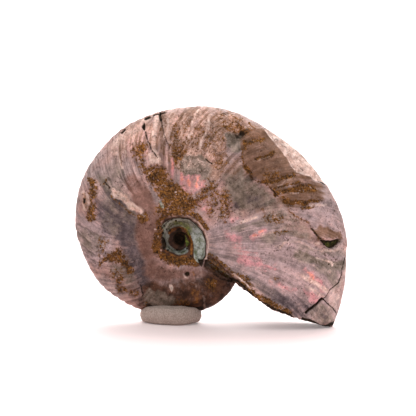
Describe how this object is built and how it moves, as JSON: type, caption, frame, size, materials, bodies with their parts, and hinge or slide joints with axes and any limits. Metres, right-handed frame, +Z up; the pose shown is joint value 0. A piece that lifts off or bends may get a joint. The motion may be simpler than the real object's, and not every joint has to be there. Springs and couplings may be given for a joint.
{
  "type": "ammonite fossil",
  "caption": "Coiled ammonite fossil with fine ribs, a stepped umbilicus and a broken lip, standing on edge on the tip of its lip and a pressed wad of putty.",
  "frame": {"origin": "on the table, under the middle of the whole object's box", "axes": "+X along the fossil's length, towards the broken lip; +Y away from the viewer, along the coil axis; +Z up"},
  "size_m": [0.0656, 0.0188, 0.0523],
  "materials": {
    "fossil_shell": "satin worn nacre, rust stained, with a faint pink and green sheen",
    "putty": "matte, fine grained, pressed by hand"
  },
  "bodies": {
    "root": {"ammonite": "fossil_shell", "putty_foot": "putty"}
  },
  "joints": []
}
